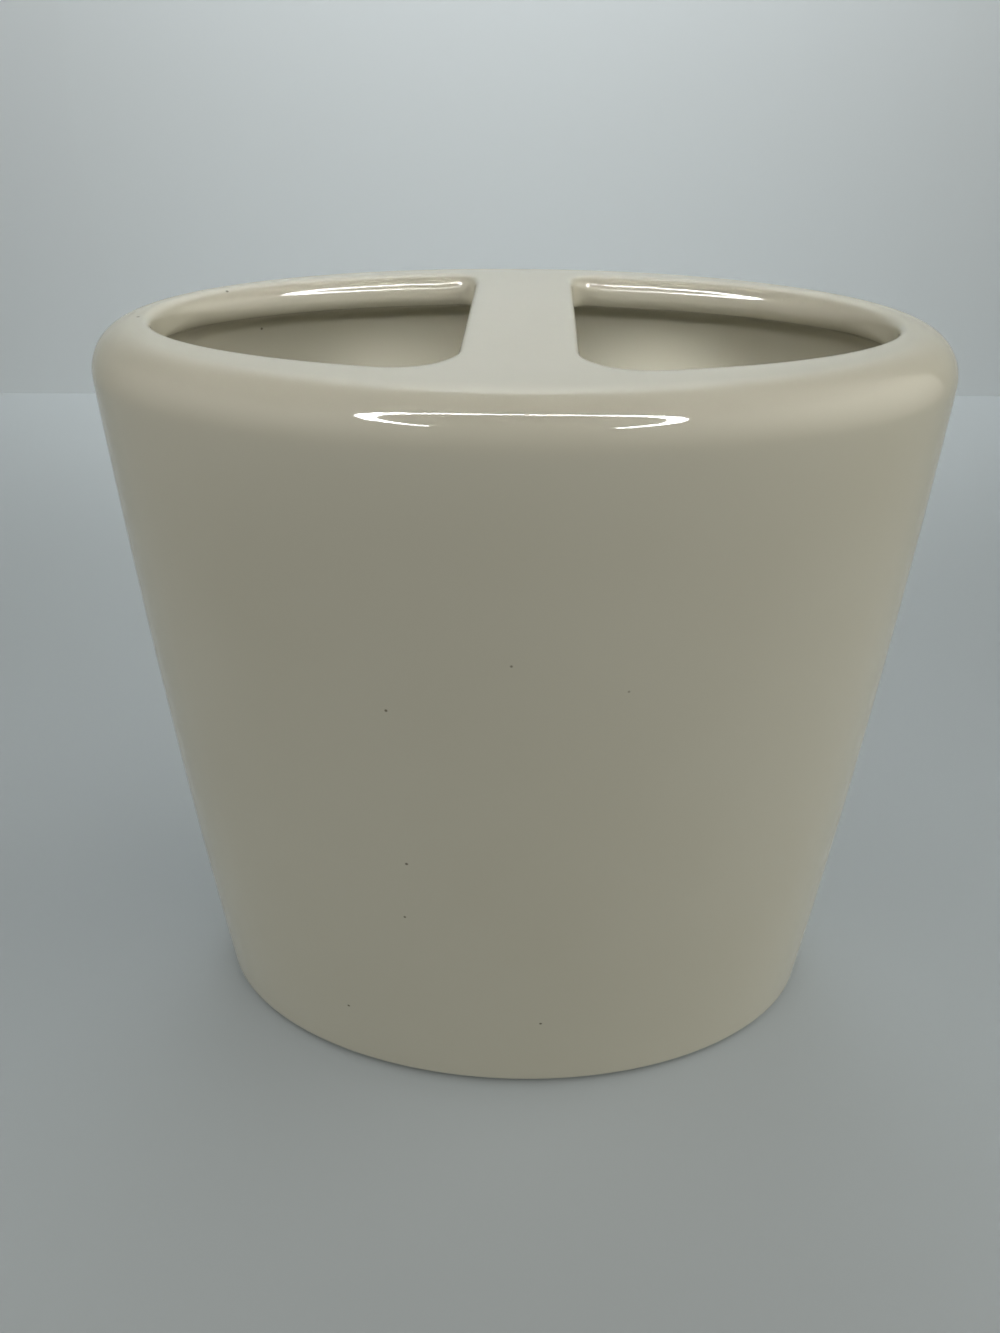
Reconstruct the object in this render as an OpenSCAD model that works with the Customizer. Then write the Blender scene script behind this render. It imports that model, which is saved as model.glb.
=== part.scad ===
// Oval two-slot toothbrush holder in glazed ceramic.
// All sizes are in millimetres. The holder stands on z = 0, width along X, front towards -Y.

/* [Body] */
// Width across the rim
width = 110; // [106:1:114]
// Depth across the rim, front to back
depth = 70; // [67:1:74]
// Height above the surface it stands on
height = 112; // [90:1:130]
// Thickness of the side wall
wall = 4.4; // [3:0.1:4.5]
// Thickness of the bottom
bottom = 5; // [3:0.5:8]
// How far each side leans in at the foot
taper = 3; // [1:0.1:4.5]
// Radius of the outside bottom edge
heel_radius = 1.5; // [0.5:0.1:2.5]
// Radius where the wall meets the bottom inside
inside_radius = 5; // [2:0.5:8]

/* [Rim] */
// Radius of the shoulder round the top
shoulder_radius = 6; // [3:0.1:6.1]
// Thickness of the turned-in lip and of the bridge
lip = 4.4; // [3:0.1:6]
// Height of the rim region, from its joint with the wall
rim_height = 12; // [9:0.5:20]
// Radius under the lip, where it meets the wall
lip_fillet = 1.6; // [0.5:0.1:1.7]
// Breadth of the top from its outside to the mouth, at the left and right ends
rim_end = 7.8; // [7.7:0.1:10]
// The same at the front and back
rim_side = 11.3; // [10:0.1:13]

/* [Slots] */
// Width of the bridge across the middle of the mouth
bridge_width = 14; // [12:1:16]
// Radius in each slot's corners beside the bridge
corner_radius = 7; // [6:0.5:8]
// Radius along the edges of the slots and the bridge, above and below
edge_radius = 1.2; // [0.5:0.1:1.3]

/* [Foot] */
// Width of the unglazed foot
foot_width = 5; // [3:0.5:6]
// Depth of the recess inside the foot
foot_recess = 1.25; // [0.5:0.05:3]
// Diameter of each non-slip pad
pad_diameter = 9; // [6:0.5:10]
// How far the pads stand out below the foot
pad_proud = 0.25; // [0.1:0.05:1]
// Distance between the left and right pads
pad_span_x = 62; // [50:1:66]
// Distance between the front and back pads
pad_span_y = 22; // [16:1:26]

/* [Curves] */
// Steps along each rounded edge
edge_steps = 8; // [4:1:12]
// Steps up the curve of the side
side_steps = 10; // [4:1:16]
// Steps along each arc where an outline is cut out of a plate
outline_steps = 6; // [4:1:12]

/* [Hidden] */
$fn = 72;
half_width = width / 2;
half_depth = depth / 2;
half_bridge = bridge_width / 2;
base_z = pad_proud + foot_recess;
floor_z = base_z + bottom;
heel_z = pad_proud + heel_radius;
shoulder_z = height - shoulder_radius;
split_z = height - rim_height;
lip_z = height - lip;
heel_edge = -taper - heel_radius;
fill_edge = -taper - wall - inside_radius;
overlap = 1;
lap = 0.5;
wedge_reach = 2;

// Radius of the rim's long sides as a share of an ellipse's there, and how far the arcs in the slots'
// corners stay short of the middle of the mouth's long side. This drop keeps every arc an exact decimal.
side_share = 0.97;
corner_drop = 1.25;

// Directions, 100 long, from an arc's centre to where one arc of an outline hands over to the next.
// The slanted ones have exact decimals, so that the arcs meet without a gap.
to_end = [100, 0];
to_shoulder = [80, 60];
to_side = [35.2, 93.6];
to_crest = [0, 100];
to_bridge = [-100, 0];

// An oval quarter is three arcs that meet smoothly: end, middle and side.
// Its half sizes a and b and its side radius r3 fix the other two radii, to a tenth.
c1 = to_shoulder[0] / 100;
s1 = to_shoulder[1] / 100;
c2 = to_side[0] / 100;
s2 = to_side[1] / 100;
det = (1 - c1) * (s2 - s1) - s1 * (c1 - c2);
function tenth(v) = round(10 * v) / 10;
function end_radius(a, b, r3) = tenth(((a - r3 * c2) * (s2 - s1) - (b - r3 * (1 - s2)) * (c1 - c2)) / det);
function middle_radius(a, b, r3) = tenth(((1 - c1) * (b - r3 * (1 - s2)) - s1 * (a - r3 * c2)) / det);

// One quarter as rows of [centre, radius, first direction, last direction], from the right end up.
function quarter(r1, r2, r3) =
    let (side_centre = [0, -s1 * (r2 - r1) - s2 * (r3 - r2)])
    let (middle_centre = side_centre + (r3 - r2) * [c2, s2])
    let (end_centre = middle_centre + (r2 - r1) * [c1, s1])
    [
        [end_centre, r1, to_end, to_shoulder],
        [middle_centre, r2, to_shoulder, to_side],
        [side_centre, r3, to_side, to_crest]
    ];

rim_side_radius = tenth(side_share * half_width * half_width / half_depth);
rim_end_radius = end_radius(half_width, half_depth, rim_side_radius);
rim_arcs = quarter(rim_end_radius, middle_radius(half_width, half_depth, rim_side_radius), rim_side_radius);

// The upper right quarter of the mouth, turning down into the straight edge of the bridge.
corner_x = half_bridge + corner_radius;
corner_reach = (corner_x * corner_x / corner_drop + corner_drop) / 2;
half_length = half_width - rim_end;
half_mouth = half_depth - rim_side;
mouth_side_radius = corner_radius + corner_reach;
mouth_arcs = quarter(
    end_radius(half_length, half_mouth, mouth_side_radius),
    middle_radius(half_length, half_mouth, mouth_side_radius),
    mouth_side_radius
);
to_corner = [corner_x, corner_reach - corner_drop];
corner_centre = mouth_arcs[2][0] + to_corner;
slot_arcs = [
    mouth_arcs[0],
    mouth_arcs[1],
    [mouth_arcs[2][0], mouth_side_radius, to_side, to_corner],
    [corner_centre, corner_radius, to_corner, to_bridge]
];

// Points along a quarter outline moved out by u, and the same with its mirror images.
function trace(arcs, u) = [
    for (c = arcs, i = [1:outline_steps])
        let (t0 = atan2(c[2][1], c[2][0]))
        let (t = t0 + (atan2(c[3][1], c[3][0]) - t0) * (i - 0.5) / outline_steps)
        c[0] + (c[1] + u) * [cos(t), sin(t)]
];
function with_front(p) = concat(p, [for (i = [len(p) - 1:-1:0]) [p[i][0], -p[i][1]]]);
function with_left(p) = concat(p, [for (i = [len(p) - 1:-1:0]) [-p[i][0], p[i][1]]]);

// Points of a rounded edge in the section plane, from angle t0 to t1.
function edge(cu, cz, r, t0, t1) = [
    for (i = [0:edge_steps])
        let (t = t0 + (t1 - t0) * i / edge_steps)
        [cu + r * cos(t), cz + r * sin(t)]
];

// Lean of the side at height z: all of the taper at the foot, none at the shoulder.
function lean(z) = -taper * pow((shoulder_z - z) / (shoulder_z - heel_z), 2);
function side(z0, z1, inset) = [
    for (i = [0:side_steps])
        let (z = z0 + (z1 - z0) * i / side_steps)
        [lean(z) - inset, z]
];

// Sweep the section in children() along a quarter outline; its x is the distance out from it.
module sweep_quarter(arcs) {
    for (c = arcs)
        translate(c[0])
            intersection() {
                rotate_extrude()
                    translate([c[1], 0])
                        children();
                linear_extrude(height)
                    polygon(wedge_reach * [[0, 0], c[2], c[2] + c[3], c[3]]);
            }
}

module sweep_half(arcs) {
    sweep_quarter(arcs)
        children();
    mirror([0, 1, 0])
        sweep_quarter(arcs)
            children();
}

module sweep_whole(arcs) {
    sweep_half(arcs)
        children();
    mirror([1, 0, 0])
        sweep_half(arcs)
            children();
}

// Side wall, with its rounded bottom edge outside and the curve down to the bottom inside.
module body_wall() {
    color([0.80, 0.79, 0.73])
        sweep_whole(rim_arcs)
            polygon(concat(
                edge(heel_edge, heel_z, heel_radius, -90, 0),
                side(heel_z, split_z, 0),
                side(split_z, floor_z + inside_radius, wall),
                edge(fill_edge, floor_z + inside_radius, inside_radius, 0, -90),
                [[fill_edge, base_z], [heel_edge, base_z]]
            ));
}

// Bottom of the pot inside the curve of the wall: a band along the wall, and a plate that laps into it.
module floor() {
    band = tenth((rim_end_radius + fill_edge) / 2);
    color([0.76, 0.75, 0.69])
        translate([0, 0, base_z]) {
            sweep_whole(rim_arcs)
                translate([fill_edge - band, 0])
                    square([band, bottom]);
            linear_extrude(bottom)
                polygon(with_front(with_left(trace(rim_arcs, fill_edge - band / 2))));
        }
}

// Unglazed foot that stands below the recessed underside.
module foot_ring() {
    color([0.88, 0.85, 0.78])
        sweep_whole(rim_arcs)
            translate([heel_edge - foot_width, pad_proud])
                square([foot_width, foot_recess]);
}

// Top of the wall, shoulder and turned-in lip, before the slots are cut.
module rim_blank() {
    reach = half_depth - corner_centre[1] + overlap;
    wall_in = lean(split_z) - wall;
    sweep_whole(rim_arcs)
        polygon(concat(
            side(split_z, shoulder_z, 0),
            edge(-shoulder_radius, shoulder_z, shoulder_radius, 0, 90),
            [[-reach, height], [-reach, lip_z]],
            edge(-wall - lip_fillet, lip_z - lip_fillet, lip_fillet, 90, 0),
            [[wall_in, split_z]]
        ));
}

// Points down a bare side at x of the lip's plate, with both of its edges rounded.
function bare_side(x) = concat(
    edge(x + edge_radius, height - edge_radius, edge_radius, 90, 180),
    edge(x + edge_radius, lip_z + edge_radius, edge_radius, 180, 270)
);

// Rounded edge of a slot, lapped into the plate behind it.
module slot_edge() {
    sweep_half(slot_arcs)
        polygon(concat([[edge_radius + lap, lip_z], [edge_radius + lap, height]], bare_side(0)));
}

// Room for one slot, back to where its rounded edge starts.
module slot_cut() {
    translate([0, 0, lip_z - overlap])
        linear_extrude(lip + 2 * overlap)
            polygon(with_front(trace(slot_arcs, edge_radius + lap / 2)));
}

// Rim with both slots, up to the ends of the bridge.
module rim() {
    color([0.82, 0.81, 0.75]) {
        difference() {
            rim_blank();
            slot_cut();
            mirror([1, 0, 0])
                slot_cut();
            translate([-bridge_width, -corner_centre[1], lip_z - overlap])
                cube([2 * bridge_width, 2 * corner_centre[1], lip + 2 * overlap]);
        }
        slot_edge();
        mirror([1, 0, 0])
            slot_edge();
    }
}

// Bridge between the slots, with the same rounded edges.
module bridge() {
    color([0.83, 0.82, 0.76])
        rotate([90, 0, 0])
            linear_extrude(2 * corner_centre[1], center = true)
                polygon(with_left(bare_side(-half_bridge)));
}

// Non-slip pad stuck in the recess under the bottom.
module pad(side_x, side_y) {
    color([0.85, 0.85, 0.83])
        translate([side_x * pad_span_x / 2, side_y * pad_span_y / 2, 0])
            cylinder(h = base_z, d = pad_diameter);
}

module pad_front_left() { pad(-1, -1); }
module pad_front_right() { pad(1, -1); }
module pad_rear_left() { pad(-1, 1); }
module pad_rear_right() { pad(1, 1); }

body_wall();
floor();
foot_ring();
rim();
bridge();
pad_front_left();
pad_front_right();
pad_rear_left();
pad_rear_right();
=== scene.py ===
import bmesh
import bpy
import math
import numpy as np
from mathutils import Matrix, Vector


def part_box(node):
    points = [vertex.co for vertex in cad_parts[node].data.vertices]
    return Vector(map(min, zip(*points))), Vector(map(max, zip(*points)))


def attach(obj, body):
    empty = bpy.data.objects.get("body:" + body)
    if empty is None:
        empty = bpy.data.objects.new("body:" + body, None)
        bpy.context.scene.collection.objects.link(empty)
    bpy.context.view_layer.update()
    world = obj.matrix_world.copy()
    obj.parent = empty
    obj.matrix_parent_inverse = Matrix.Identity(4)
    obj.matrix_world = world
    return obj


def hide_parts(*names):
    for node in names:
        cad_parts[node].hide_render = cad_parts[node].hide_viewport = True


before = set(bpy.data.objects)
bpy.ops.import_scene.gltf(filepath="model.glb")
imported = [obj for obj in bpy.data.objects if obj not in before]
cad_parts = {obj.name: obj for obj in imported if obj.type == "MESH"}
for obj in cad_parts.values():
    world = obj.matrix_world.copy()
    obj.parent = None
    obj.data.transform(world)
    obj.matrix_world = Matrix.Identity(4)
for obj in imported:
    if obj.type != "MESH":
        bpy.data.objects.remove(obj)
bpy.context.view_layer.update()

mm = 0.001                       # every size below is written in millimetres and used in metres
mergeDistance = 1e-6             # in metres: points closer than this are one point
mixA, mixB, mixResult = 6, 7, 2  # a Mix node's colour sockets, by place because their names repeat


# Colour and node helpers

def linear(hexColour):
    # sRGB hex to the linear values that the shader's sockets take
    parts = [int(hexColour[i:i + 2], 16) / 255 for i in (1, 3, 5)]
    return tuple(c / 12.92 if c <= 0.04045 else ((c + 0.055) / 1.055) ** 2.4 for c in parts) + (1.0,)


def addNode(tree, kind, settings=None, links=None):
    # one node: settings go to its properties or sockets, links come from (node, output) pairs
    node = tree.nodes.new(kind)
    for name, value in (settings or {}).items():
        if isinstance(name, str) and hasattr(node, name):
            setattr(node, name, value)
        else:
            node.inputs[name].default_value = value
    for name, (source, output) in (links or {}).items():
        tree.links.new(source.outputs[output], node.inputs[name])
    return node


def newMaterial(name):
    material = bpy.data.materials.new(name)
    material.use_nodes = True
    tree = material.node_tree
    tree.nodes.clear()
    return material, tree


def patternScale(size):
    # the Scale of a texture whose pattern is this many millimetres big
    return 1 / (size * mm)


# Mesh helpers

def deselectAll():
    if bpy.context.object and bpy.context.object.mode != "OBJECT":
        bpy.ops.object.mode_set(mode="OBJECT")
    bpy.ops.object.select_all(action="DESELECT")


def editMode(on):
    bpy.ops.object.mode_set(mode="EDIT" if on else "OBJECT")


def nearest(points, target):
    # row of points that lies closest to target
    return int(np.argmin(((points - np.array(target)) ** 2).sum(1)))


def startLoop(name, outline):
    # a circle of edges whose vertices are put on the first outline
    deselectAll()
    bpy.ops.mesh.primitive_circle_add(vertices=len(outline), radius=1, fill_type="NOTHING")
    piece = bpy.context.object
    piece.name = name
    for vert, place in zip(piece.data.vertices, outline):
        vert.co = place
    editMode(True)
    bpy.ops.mesh.select_all(action="SELECT")
    return piece


def growLoop(piece, before, after):
    # extrudes the selected loop and puts the new vertices on the next outline
    bpy.ops.mesh.extrude_edges_move()
    shape = bmesh.from_edit_mesh(piece.data)
    for vert in shape.verts:
        if vert.select:
            vert.co = after[nearest(before, vert.co)]
    bmesh.update_edit_mesh(piece.data)


def selectFaces(piece, wanted):
    # in edit mode, selects the faces for which wanted(face) is true and nothing else
    bpy.ops.mesh.select_all(action="DESELECT")
    shape = bmesh.from_edit_mesh(piece.data)
    for face in shape.faces:
        face.select_set(wanted(face))
    bmesh.update_edit_mesh(piece.data)


def applyModifier(piece, name, kind, settings):
    modifier = piece.modifiers.new(name, kind)
    for setting, value in settings.items():
        setattr(modifier, setting, value)
    bpy.ops.object.modifier_apply(modifier=modifier.name)


def finishPiece(piece, material, slot, *nodes):
    # doubles merged, normals out, painted, and riding on the one body
    deselectAll()
    piece.select_set(True)
    bpy.context.view_layer.objects.active = piece
    editMode(True)
    bpy.ops.mesh.select_all(action="SELECT")
    bpy.ops.mesh.remove_doubles(threshold=mergeDistance)
    bpy.ops.mesh.normals_make_consistent(inside=False)
    editMode(False)
    piece.data.materials.append(material)
    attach(piece, "root")
    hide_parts(*nodes)
    return piece


def arcPoints(centre, radius, first, last, steps):
    # section points (distance out, height) round a centre, angles in degrees
    turns = np.radians(np.linspace(first, last, steps + 1))
    return [(centre[0] + radius * math.cos(t), centre[1] + radius * math.sin(t)) for t in turns]


# The glazed pot: one casting, so wall, floor, rim and bridge are one skin of glaze

pot = {
    "wall": 4.4,
    "taper": 3.0,              # how far the wall comes in from shoulder to foot
    "heelRadius": 1.5,         # outside, at the foot
    "insideRadius": 5.0,       # inside, between wall and bottom
    "shoulderRadius": 6.0,
    "underLipShare": 0.6,      # rounding under the lip, as a share of how far the lip overhangs the wall
    "insideTop": 5.0,          # how far below the lip the plain inside wall starts
    "mouthHalfLength": 47.2,
    "mouthHalfWidth": 23.7,
    "cornerRadius": 7.0,       # slot corners beside the bridge, at the front
    "backCornerRadius": 2.4,   # the same at the back
    "cornerCrowding": 4.0,     # a turn of one radian gets as many points as this many straight millimetres
    "barEdge": 1.0,            # rounding along the bridge and the front of each slot
    "backEdge": 2.8,           # the same at the back of the mouth
    "backEdgeEnd": 3.5,        # how far from the bridge it takes to change over
    "backEdgeRange": (-0.2, 0.7),  # where it starts to grow and is full, as shares of mouthHalfWidth
    "crownAngle": 84,          # the shoulder and the slot edges stop this far round, short of dead flat
    "edgeMiddle": 2,           # degrees either side of level between which a slot edge stands upright
    "flatShares": (0.3, 0.65, 0.97),  # loops over the flat underside and bottom, as shares of the way out
    "aroundSteps": 64,         # points from front to back round one half of the oval
    "bridgeSteps": 16,         # points along the middle line, front to back
    # rows of faces over each stretch of the section
    "rows": {"heel": 6, "wall": 15, "shoulder": 10, "lip": 3, "edgeTop": 6, "edgeUnder": 5, "hollow": 5,
             "inside": 13, "fillet": 8},
}

highRim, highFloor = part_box("rim")[1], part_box("floor")[1]
lowBridge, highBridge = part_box("bridge")
lowFoot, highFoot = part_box("foot_ring")
halfWidth, halfDepth, topZ = (c / mm for c in highRim)
lipZ, halfBridge = lowBridge.z / mm, highBridge.x / mm
footZ, underZ, insideZ = lowFoot.z / mm, highFoot.z / mm, highFloor.z / mm


def evenly(points, count, crowding=0.0):
    # the same open path with count points at even spacing, closer together where it turns
    points = np.array(points)
    steps = np.diff(points, axis=0).T
    run = np.concatenate([[0], np.cumsum(np.hypot(*steps[:2]) + crowding * np.hypot(*steps[-2:]))])
    stops = np.linspace(0, run[-1], count)
    return np.stack([np.interp(stops, run, column) for column in points.T], axis=1)


def middleLine(y):
    # points from back to front along the line x = 0, without its two ends
    steps = pot["bridgeSteps"]
    return np.array([(0, y * (1 - 2 * k / steps)) for k in range(1, steps)])


turnsAround = np.radians(np.linspace(-90, 90, 721))  # every quarter of a degree
unitAround = evenly([(halfWidth * math.cos(t), halfDepth * math.sin(t)) for t in turnsAround],
                    pot["aroundSteps"] + 1) / (halfWidth, halfDepth)


def ovalLoop(out, z, share=1.0):
    # right half of the oval moved out by some millimetres, closed by the middle line
    reach = np.array([halfWidth + out, halfDepth + out]) * share
    flat = np.vstack([unitAround * reach, middleLine(reach[1])])
    return np.column_stack([flat, np.full(len(flat), z)]) * mm


def underLipLoop(angle):
    # the hollow where the wall turns in under the lip: tight at the ends, generous at front and back
    widest = np.array([halfWidth - pot["mouthHalfLength"], halfDepth - pot["mouthHalfWidth"]]) - pot["wall"]
    radius = pot["underLipShare"] * np.hypot(*(unitAround * widest).T)
    turn = math.radians(angle)
    out = -pot["wall"] - radius * (1 - math.cos(turn))
    half = unitAround * (np.array([[halfWidth, halfDepth]]) + out[:, None])
    height = lipZ - radius * (1 - math.sin(turn))
    flat = np.vstack([half, middleLine(half[-1, 1])])
    level = np.concatenate([height, np.full(len(flat) - len(half), height[-1])])
    return np.column_stack([flat, level]) * mm


def mouthPoint(turn):
    # place on the mouth's oval and the direction out from it
    a, b = pot["mouthHalfLength"], pot["mouthHalfWidth"]
    place = np.array([a * math.cos(turn), b * math.sin(turn)])
    out = np.array([math.cos(turn) / a, math.sin(turn) / b])
    return place, out / np.linalg.norm(out)


def slotQuarter(radius):
    # back right quarter of a slot as (x, y, outward x, outward y): to halfway round its corner, and onwards
    halvings, cornerPoints, mouthPoints = 40, 60, 400
    low, high = 0.0, math.pi / 2
    for _ in range(halvings):  # towards the turn at which the corner's circle touches mouth and bridge
        turn = (low + high) / 2
        place, out = mouthPoint(turn)
        low, high = (turn, high) if (place - radius * out)[0] > halfBridge + radius else (low, turn)
    centre = place - radius * out
    first = math.atan2(out[1], out[0])
    halfway = (first + math.pi) / 2

    def corner(start, end):
        outward = [np.array([math.cos(t), math.sin(t)]) for t in np.linspace(start, end, cornerPoints)]
        return [np.hstack([centre + radius * away, away]) for away in outward]

    arc = [np.hstack(mouthPoint(t)) for t in np.linspace(0, turn, mouthPoints)]
    return np.array(arc + corner(first, halfway)[1:]), np.array(corner(halfway, math.pi))


def slotPath():
    # right-hand slot in two stretches that meet halfway round its corners: outside, then along the bridge
    mirror = (1, -1, 1, -1)
    backOuter, backInner = slotQuarter(pot["backCornerRadius"])
    frontOuter, frontInner = slotQuarter(pot["cornerRadius"])
    outer = np.vstack([(frontOuter * mirror)[::-1], backOuter[1:]])
    inner = np.vstack([backInner, (frontInner * mirror)[::-1]])
    crowding = pot["cornerCrowding"]
    return np.vstack([evenly(outer, pot["aroundSteps"] + 1, crowding),
                      evenly(inner, pot["bridgeSteps"] + 1, crowding)[1:-1]])


slotOutline = slotPath()


def slotLoop(angle):
    # the slot's rolled edge: full and round at the back of the mouth, tighter along bridge and front
    start, full = pot["backEdgeRange"]
    back = np.clip((slotOutline[:, 1] / pot["mouthHalfWidth"] - start) / (full - start), 0, 1)
    back = back * back * (3 - 2 * back)
    back *= np.clip((slotOutline[:, 0] - halfBridge) / pot["backEdgeEnd"], 0, 1)
    radius = pot["barEdge"] + (pot["backEdge"] - pot["barEdge"]) * back
    if angle < 0:  # the lower half takes what the upper one leaves
        radius = np.minimum(radius, topZ - lipZ - radius)
    turn = math.radians(angle)
    middle = topZ - radius if angle > 0 else lipZ + radius
    out = radius * (1 - math.cos(turn))
    facing = slotOutline[:, 2:] / np.linalg.norm(slotOutline[:, 2:], axis=1)[:, None]
    flat = slotOutline[:, :2] + facing * out[:, None]
    return np.column_stack([flat, middle + radius * math.sin(turn)]) * mm


def between(first, last, steps):
    # loops that step evenly from one outline to another, without the ends
    return [first + (last - first) * k / steps for k in range(1, steps)]


def potLoops():
    # the loops of the skin in order: underside, outside, lip, slot edge, under the lip, inside, bottom
    rows, crown, heel, shoulder = pot["rows"], pot["crownAngle"], pot["heelRadius"], pot["shoulderRadius"]
    heelOut, heelZ = -pot["taper"] - heel, footZ + heel
    filletOut, filletZ = -pot["taper"] - pot["wall"] - pot["insideRadius"], insideZ + pot["insideRadius"]
    shoulderZ = topZ - shoulder

    def lean(z):
        # the wall comes in more and more steeply towards the foot
        return -pot["taper"] * ((shoulderZ - z) / (shoulderZ - heelZ)) ** 2

    outside = [(heelOut, underZ)]
    outside += arcPoints((heelOut, heelZ), heel, -90, 0, rows["heel"])
    outside += [(lean(z), z) for z in np.linspace(heelZ, shoulderZ, rows["wall"] + 1)[1:-1]]
    outside += arcPoints((-shoulder, shoulderZ), shoulder, 0, crown, rows["shoulder"])
    edgeAngles = list(np.linspace(crown, 0, rows["edgeTop"] + 1)[:-1])
    edgeAngles += [pot["edgeMiddle"], -pot["edgeMiddle"]]
    edgeAngles += list(np.linspace(0, -crown, rows["edgeUnder"] + 1)[1:])
    edge = [slotLoop(angle) for angle in edgeAngles]
    under = [underLipLoop(angle) for angle in np.linspace(90, 0, rows["hollow"] + 1)]
    insideHeights = np.linspace(lipZ - pot["insideTop"], filletZ, rows["inside"] + 1)[:-1]
    inside = [(lean(z) - pot["wall"], z) for z in insideHeights]
    inside += arcPoints((filletOut, filletZ), pot["insideRadius"], 0, -90, rows["fillet"])

    loops = [ovalLoop(heelOut, underZ, share) for share in pot["flatShares"]]
    loops += [ovalLoop(out, z) for out, z in outside]
    loops += between(loops[-1], edge[0], rows["lip"]) + edge
    loops += between(edge[-1], under[0], rows["lip"]) + under
    loops += [ovalLoop(out, z) for out, z in inside]
    loops += [ovalLoop(filletOut, insideZ, share) for share in reversed(pot["flatShares"])]
    return loops


def makePot(material):
    loops = potLoops()
    piece = startLoop("glazedPot", loops[0])
    for before, after in zip(loops, loops[1:]):
        growLoop(piece, before, after)
    # the strips that run down the middle plane are not part of the pot
    selectFaces(piece, lambda face: all(abs(vert.co.x) < mergeDistance for vert in face.verts))
    bpy.ops.mesh.delete(type="ONLY_FACE")
    bpy.ops.mesh.select_all(action="SELECT")
    bpy.ops.mesh.delete_loose(use_verts=True, use_edges=True, use_faces=False)
    editMode(False)
    applyModifier(piece, "otherHalf", "MIRROR", {"merge_threshold": mergeDistance})
    editMode(True)  # the underside and the inside of the bottom are still open in the middle
    bpy.ops.mesh.select_all(action="SELECT")
    bpy.ops.mesh.fill_holes(sides=0)
    editMode(False)
    applyModifier(piece, "smoothGlaze", "SUBSURF", {"levels": 1, "render_levels": 1})
    bpy.ops.object.shade_smooth()
    return finishPiece(piece, material, "glaze", "body_wall", "floor", "rim", "bridge")


# The dry foot and the pads

foot = {
    "width": 5.0,
    "edgeRadius": 0.3,   # where it was ground
    "edgeRows": 3,
    "sharpAngle": 40,    # degrees: an edge that turns more than this is eased, or shaded as an edge
    "around": 160,
}


def makeFoot(material):
    # flat unglazed ring with eased edges
    halfLength, halfBreadth = highFoot.x / mm, highFoot.y / mm
    turns = np.linspace(0, 2 * math.pi, foot["around"], endpoint=False)
    corners = [(0, underZ), (0, footZ), (-foot["width"], footZ), (-foot["width"], underZ)]
    loops = [
        np.array([((halfLength + out) * math.cos(t), (halfBreadth + out) * math.sin(t), z)
                  for t in turns]) * mm
        for out, z in corners
    ]
    piece = startLoop("dryFoot", loops[0])
    for before, after in zip(loops, loops[1:] + loops[:1]):
        growLoop(piece, before, after)
    bpy.ops.mesh.select_all(action="SELECT")
    bpy.ops.mesh.remove_doubles(threshold=mergeDistance)
    editMode(False)
    sharp = math.radians(foot["sharpAngle"])
    applyModifier(piece, "easedEdges", "BEVEL", {
        "width": foot["edgeRadius"] * mm, "segments": foot["edgeRows"],
        "limit_method": "ANGLE", "angle_limit": sharp})
    bpy.ops.object.shade_smooth_by_angle(angle=sharp)
    return finishPiece(piece, material, "bisque", "foot_ring")


pad = {
    "edgeRadius": 0.35,
    "edgeRows": 4,
    "sharpAngle": 50,    # degrees: an edge that turns more than this is shaded as an edge
    "around": 48,
}


def makePad(node, material):
    # die-cut foam disc, pressed a little rounder at its lower edge
    low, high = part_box(node)
    deselectAll()
    bpy.ops.mesh.primitive_cylinder_add(
        vertices=pad["around"], radius=(high.x - low.x) / 2, depth=high.z - low.z,
        location=(low + high) / 2)
    piece = bpy.context.object
    piece.name = node + "_foam"
    bpy.ops.object.transform_apply(location=True, rotation=True, scale=True)
    editMode(True)
    selectFaces(piece, lambda face: face.normal.z < -0.9)  # the lower face
    bpy.ops.mesh.bevel(offset=pad["edgeRadius"] * mm, segments=pad["edgeRows"], affect="EDGES")
    editMode(False)
    bpy.ops.object.shade_smooth_by_angle(angle=math.radians(pad["sharpAngle"]))
    return finishPiece(piece, material, "pad", node)


# Materials

glaze = {
    "colour": "#cecbbb",
    "deepColour": "#c4c0ad",   # where the glaze lies thicker
    "speckColour": "#6f6a58",
    "cloudSize": 45.0,         # slow drift of colour over the body
    "speckSpacing": 9.5,       # a speck shows where the middle of a cell this big lies at the surface
    "speckSize": 0.28,
    "peelSize": 2.2,           # orange peel of a sprayed glaze
    "peelDepth": 0.004,
    "roughness": 0.03,
    "ior": 1.5,
}


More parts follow.
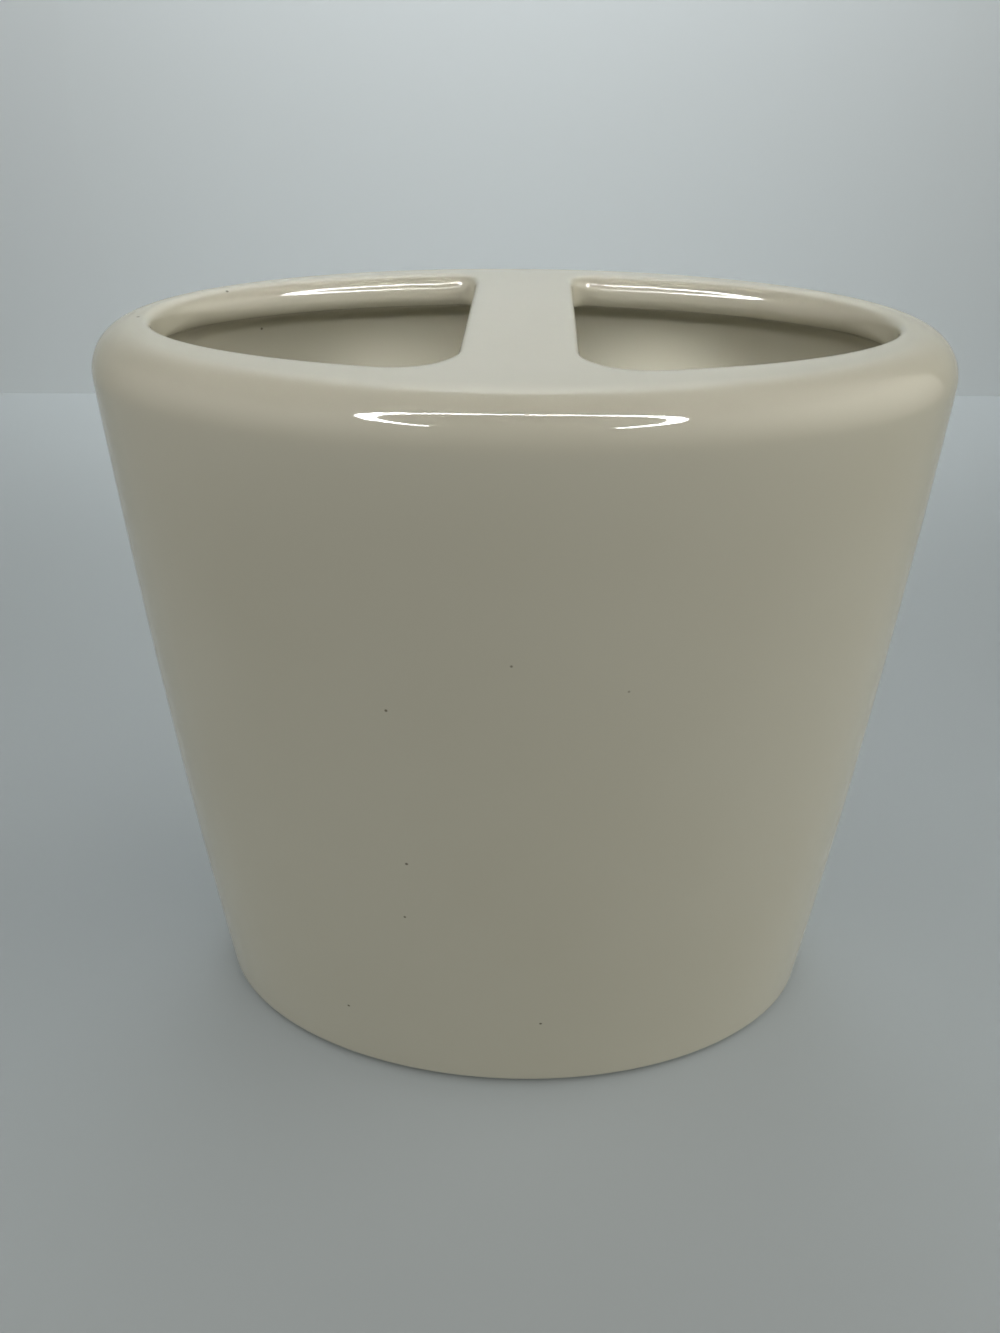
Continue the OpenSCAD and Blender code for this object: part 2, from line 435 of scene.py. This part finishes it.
def glazedEarthenware():
    # sprayed glossy glaze on slip-cast earthenware: sharp highlights on a soft, opaque cream
    material, tree = newMaterial("glossyCreamGlaze")
    place = addNode(tree, "ShaderNodeTexCoord")
    drift = addNode(tree, "ShaderNodeTexNoise", {"Scale": patternScale(glaze["cloudSize"]), "Detail": 2.0},
                    {"Vector": (place, "Object")})
    body = addNode(tree, "ShaderNodeMix", {
        "data_type": "RGBA", mixA: linear(glaze["colour"]), mixB: linear(glaze["deepColour"])},
        {"Factor": (drift, "Fac")})
    cells = addNode(tree, "ShaderNodeTexVoronoi", {"Scale": patternScale(glaze["speckSpacing"])},
                    {"Vector": (place, "Object")})
    speckEdge = glaze["speckSize"] / glaze["speckSpacing"]
    dot = addNode(tree, "ShaderNodeMapRange",
                  {"From Min": speckEdge / 2, "From Max": speckEdge, "To Min": 1.0, "To Max": 0.0},
                  {"Value": (cells, "Distance")})
    speckled = addNode(tree, "ShaderNodeMix", {"data_type": "RGBA", mixB: linear(glaze["speckColour"])},
                       {"Factor": (dot, "Result"), mixA: (body, mixResult)})
    peel = addNode(tree, "ShaderNodeTexNoise", {"Scale": patternScale(glaze["peelSize"]), "Detail": 1.0},
                   {"Vector": (place, "Object")})
    bump = addNode(tree, "ShaderNodeBump", {"Strength": 1.0, "Distance": glaze["peelDepth"] * mm},
                   {"Height": (peel, "Fac")})
    shader = addNode(tree, "ShaderNodeBsdfPrincipled",
                     {"Roughness": glaze["roughness"], "IOR": glaze["ior"]},
                     {"Normal": (bump, "Normal"), "Base Color": (speckled, mixResult)})
    addNode(tree, "ShaderNodeOutputMaterial", links={"Surface": (shader, "BSDF")})
    return material


bisque = {
    "colour": "#d8cfbb",
    "dustColour": "#c3b89f",   # in the pits between the grains
    "grainSize": 0.5,
    "grainDepth": 0.03,
    "roughness": 0.85,
    "ior": 1.5,
}


def dryBisque():
    # fired clay wiped clean of glaze and ground flat: matt, with an open grain
    material, tree = newMaterial("unglazedBisque")
    place = addNode(tree, "ShaderNodeTexCoord")
    grain = addNode(tree, "ShaderNodeTexNoise", {"Scale": patternScale(bisque["grainSize"]), "Detail": 6.0},
                    {"Vector": (place, "Object")})
    colour = addNode(tree, "ShaderNodeMix", {
        "data_type": "RGBA", mixA: linear(bisque["colour"]), mixB: linear(bisque["dustColour"])},
        {"Factor": (grain, "Fac")})
    bump = addNode(tree, "ShaderNodeBump", {"Strength": 1.0, "Distance": bisque["grainDepth"] * mm},
                   {"Height": (grain, "Fac")})
    shader = addNode(tree, "ShaderNodeBsdfPrincipled",
                     {"Roughness": bisque["roughness"], "IOR": bisque["ior"]},
                     {"Normal": (bump, "Normal"), "Base Color": (colour, mixResult)})
    addNode(tree, "ShaderNodeOutputMaterial", links={"Surface": (shader, "BSDF")})
    return material


foam = {
    "colour": "#d6d5cd",
    "poreColour": "#b9b8b0",
    "poreSize": 0.35,
    "poreDepth": 0.05,
    "roughness": 0.7,
    "ior": 1.45,
}


def foamRubber():
    # die-cut EVA foam: closed pores, soft and matt
    material, tree = newMaterial("evaFoam")
    place = addNode(tree, "ShaderNodeTexCoord")
    pores = addNode(tree, "ShaderNodeTexVoronoi", {"Scale": patternScale(foam["poreSize"])},
                    {"Vector": (place, "Object")})
    colour = addNode(tree, "ShaderNodeMix", {
        "data_type": "RGBA", mixA: linear(foam["poreColour"]), mixB: linear(foam["colour"])},
        {"Factor": (pores, "Distance")})
    bump = addNode(tree, "ShaderNodeBump", {"Strength": 1.0, "Distance": foam["poreDepth"] * mm},
                   {"Height": (pores, "Distance")})
    shader = addNode(tree, "ShaderNodeBsdfPrincipled",
                     {"Roughness": foam["roughness"], "IOR": foam["ior"]},
                     {"Normal": (bump, "Normal"), "Base Color": (colour, mixResult)})
    addNode(tree, "ShaderNodeOutputMaterial", links={"Surface": (shader, "BSDF")})
    return material


# Stage, light and camera

view = {
    "place": (1.783, -131.149, 142.987),
    "pitch": 0.5693,      # downward tilt in radians
    "turn": -0.0334,
    "roll": 0.0029,
    "focal": 1000.0,      # in pixels of the 1000 by 1333 photograph
    "longSide": 1333.0,
    "sensor": 36.0,
    "clipNear": 5.0,
    "clipFar": 20000.0,
}

stage = {
    "floorColour": "#afb7bb",
    "wallColour": "#c2c9cc",
    "roughness": 0.6,
    "floorSize": 1400.0,
    "wallPlace": 325.0,      # where floor and backdrop meet, behind the pot
}


def paintedBoard(name, colour):
    material, tree = newMaterial(name)
    shader = addNode(tree, "ShaderNodeBsdfPrincipled",
                     {"Base Color": linear(colour), "Roughness": stage["roughness"]})
    addNode(tree, "ShaderNodeOutputMaterial", links={"Surface": (shader, "BSDF")})
    return material


def makeStage():
    size = stage["floorSize"] * mm
    deselectAll()
    bpy.ops.mesh.primitive_plane_add(size=size, location=(0, 0, 0))
    floor = bpy.context.object
    floor.name = "stageFloor"
    floor.data.materials.append(paintedBoard("paleFloor", stage["floorColour"]))
    deselectAll()
    bpy.ops.mesh.primitive_plane_add(
        size=size, location=(0, stage["wallPlace"] * mm, size / 2), rotation=(math.pi / 2, 0, -view["turn"]))
    wall = bpy.context.object
    wall.name = "stageBackdrop"
    wall.data.materials.append(paintedBoard("paleBackdrop", stage["wallColour"]))


lighting = {
    "skyColour": "#e7e4dc",
    "skyAllRound": 0.04,
    # soft light from the room: direction it comes from, how gathered it is, strength
    "sky": {
        "left": ((-0.91, 0, 0.42), 6, 0.7),
        "right": ((0.91, 0, 0.42), 6, 2.2),
        "frontLeft": ((-0.58, -0.58, 0.57), 8, 0.92),
        "frontRight": ((0.58, -0.58, 0.57), 8, 0.82),
    },
    # soft lamps that light colours only: place, aim, width and height in mm, watts, spread in degrees
    "soft": {
        "frontHigh": ((0, -260, 640), (0, 0, 90), 300, 200, 0.1, 180),
        "frontSpot": ((0, -400, 500), (0, -22, 106), 240, 60, 0.0035, 12),
        "mouth": ((0, -400, 320), (0, 22, 106), 90, 16, 0.0022, 8),
        "wall": ((0, 60, 700), (-10, 325, 420), 220, 220, 1.4, 75),
        "left": ((-620, 0, 240), (0, 0, 60), 420, 420, 0.1, 180),
        "besideLeft": ((-230, 10, 360), (-100, 25, 0), 120, 240, 0.016, 46),
        "besideRight": ((230, 0, 360), (96, 12, 0), 120, 240, 0.014, 46),
        "insideLeft": ((-24, -25, 98), (-22, 30, 87), 16, 3, 0.001, 38),
        "insideRight": ((27, -25, 98), (25, 30, 87), 20, 3, 0.0022, 38),
    },
    # strip lamps in an open ring, seen only as the bracket on the shoulder
    "ring": {"height": 600.0, "middle": -397.0, "halfWide": 300.0, "halfDeep": 205.0, "openAngle": 138.0,
             "lamps": 32, "lap": 1.1, "narrow": 9.0, "broad": 44.0, "brightness": 60.0},
    # the same ring closed and brought near, in beams that only the back lip catches, as a loop on each side
    "loops": {"lamps": 16, "share": 0.25, "broad": 28.0, "brightness": 50.0, "farSpread": 24.0,
              "nearSpread": 16.0, "aims": ((-24, 20, 111), (24, 20, 111))},
    # along its axis a narrow beam is brighter than a plain lamp by this over its half spread squared
    "beamGain": 3.0,
}


def areaLight(name, place, aim, wide, high, watts, spread):
    data = bpy.data.lights.new(name, "AREA")
    data.shape, data.size, data.size_y = "RECTANGLE", wide * mm, high * mm
    data.energy, data.spread = watts, math.radians(spread)
    lamp = bpy.data.objects.new(name, data)
    bpy.context.scene.collection.objects.link(lamp)
    lamp.location = Vector(place) * mm
    lamp.rotation_euler = (Vector(aim) - Vector(place)).to_track_quat("-Z", "Y").to_euler()
    lamp.visible_camera = False
    return lamp


def anglesRound(count):
    # middles of equal shares of a whole turn, where 0 is the ring's far side
    return [(k + 0.5) * 2 * math.pi / count - math.pi for k in range(count)]


def ringLamp(angle, high, count, brightness, aim=None, spread=180, share=1.0):
    # one of count strips that make up the ring, facing down
    # with an aim it is a beam on that point, brought to a share of the way there and made as much smaller
    ring = lighting["ring"]
    place = Vector((ring["halfWide"] * math.sin(angle), ring["halfDeep"] * math.cos(angle), ring["height"]))
    place.y += ring["middle"]
    along = Vector((ring["halfWide"] * math.cos(angle), -ring["halfDeep"] * math.sin(angle), 0))
    wide = along.length * 2 * math.pi / count * ring["lap"] * share
    high *= share
    watts = brightness * math.pi * wide * high * mm * mm  # the same brightness at any size
    if aim:
        place = Vector(aim).lerp(place, share)
        watts *= math.radians(spread / 2) ** 2 / lighting["beamGain"]
        facing = (place - Vector(aim)).normalized()
        side = (along - facing * along.dot(facing)).normalized()
        rotation = Matrix((side, facing.cross(side), facing)).transposed().to_euler()
    else:
        rotation = (0, 0, math.atan2(along.y, along.x))
    lamp = areaLight("ringStrip", place, place - Vector((0, 0, 1)), wide, high, watts, spread)
    lamp.rotation_euler = rotation
    lamp.visible_diffuse = False


def makeSky():
    # a world that is brighter towards each of the chosen directions
    world = bpy.data.worlds.new("studio")
    world.use_nodes = True
    tree = world.node_tree
    toSky = addNode(tree, "ShaderNodeTexCoord")
    total = addNode(tree, "ShaderNodeValue")
    total.outputs["Value"].default_value = lighting["skyAllRound"]
    for toward, gathered, strength in lighting["sky"].values():
        facing = addNode(tree, "ShaderNodeVectorMath", {"operation": "DOT_PRODUCT", 1: toward},
                         {0: (toSky, "Generated")})
        lit = addNode(tree, "ShaderNodeMath", {"operation": "MAXIMUM", 1: 0.0}, {0: (facing, "Value")})
        lobe = addNode(tree, "ShaderNodeMath", {"operation": "POWER", 1: gathered}, {0: (lit, "Value")})
        total = addNode(tree, "ShaderNodeMath", {"operation": "MULTIPLY_ADD", 1: strength},
                        {0: (lobe, "Value"), 2: (total, "Value")})
    sky = tree.nodes["Background"]
    sky.inputs["Color"].default_value = linear(lighting["skyColour"])
    tree.links.new(total.outputs["Value"], sky.inputs["Strength"])
    bpy.context.scene.world = world


def makeLamps():
    for name, settings in lighting["soft"].items():
        areaLight(name + "Soft", *settings).visible_glossy = False
    ring, loops = lighting["ring"], lighting["loops"]
    for angle in anglesRound(ring["lamps"]):
        if abs(angle) < math.radians(ring["openAngle"]):
            high = ring["narrow"] + (ring["broad"] - ring["narrow"]) * math.sin(angle) ** 2
            ringLamp(angle, high, ring["lamps"], ring["brightness"])
    for angle in anglesRound(loops["lamps"]):
        spread = loops["farSpread"] if math.cos(angle) > 0 else loops["nearSpread"]
        for aim in loops["aims"]:
            ringLamp(angle, loops["broad"], loops["lamps"], loops["brightness"], aim, spread, loops["share"])


def makeCamera():
    data = bpy.data.cameras.new("photoView")
    data.sensor_width = view["sensor"]
    data.lens = data.sensor_width * view["focal"] / view["longSide"]
    data.clip_start, data.clip_end = view["clipNear"] * mm, view["clipFar"] * mm
    camera = bpy.data.objects.new("photoView", data)
    bpy.context.scene.collection.objects.link(camera)
    pitch, turn, roll = view["pitch"], view["turn"], view["roll"]
    ahead = Vector((math.sin(turn) * math.cos(pitch), math.cos(turn) * math.cos(pitch), -math.sin(pitch)))
    side = Vector((math.cos(turn), -math.sin(turn), 0))
    up = side.cross(ahead)
    sideways = side * math.cos(roll) + up * math.sin(roll)
    upright = up * math.cos(roll) - side * math.sin(roll)
    camera.matrix_world = Matrix.Translation(Vector(view["place"]) * mm) @ Matrix(
        (sideways, upright, -ahead)).transposed().to_4x4()
    bpy.context.scene.camera = camera


makeCamera()
makeSky()
makeLamps()
makeStage()
print("camera, lights and stage are in place")

makePot(glazedEarthenware())
print("the glazed pot is modelled")

makeFoot(dryBisque())
padMaterial = foamRubber()
for node in sorted(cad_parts):
    if node.startswith("pad_"):
        makePad(node, padMaterial)
print("foot and pads are modelled")

bpy.context.scene.view_settings.view_transform = "Standard"
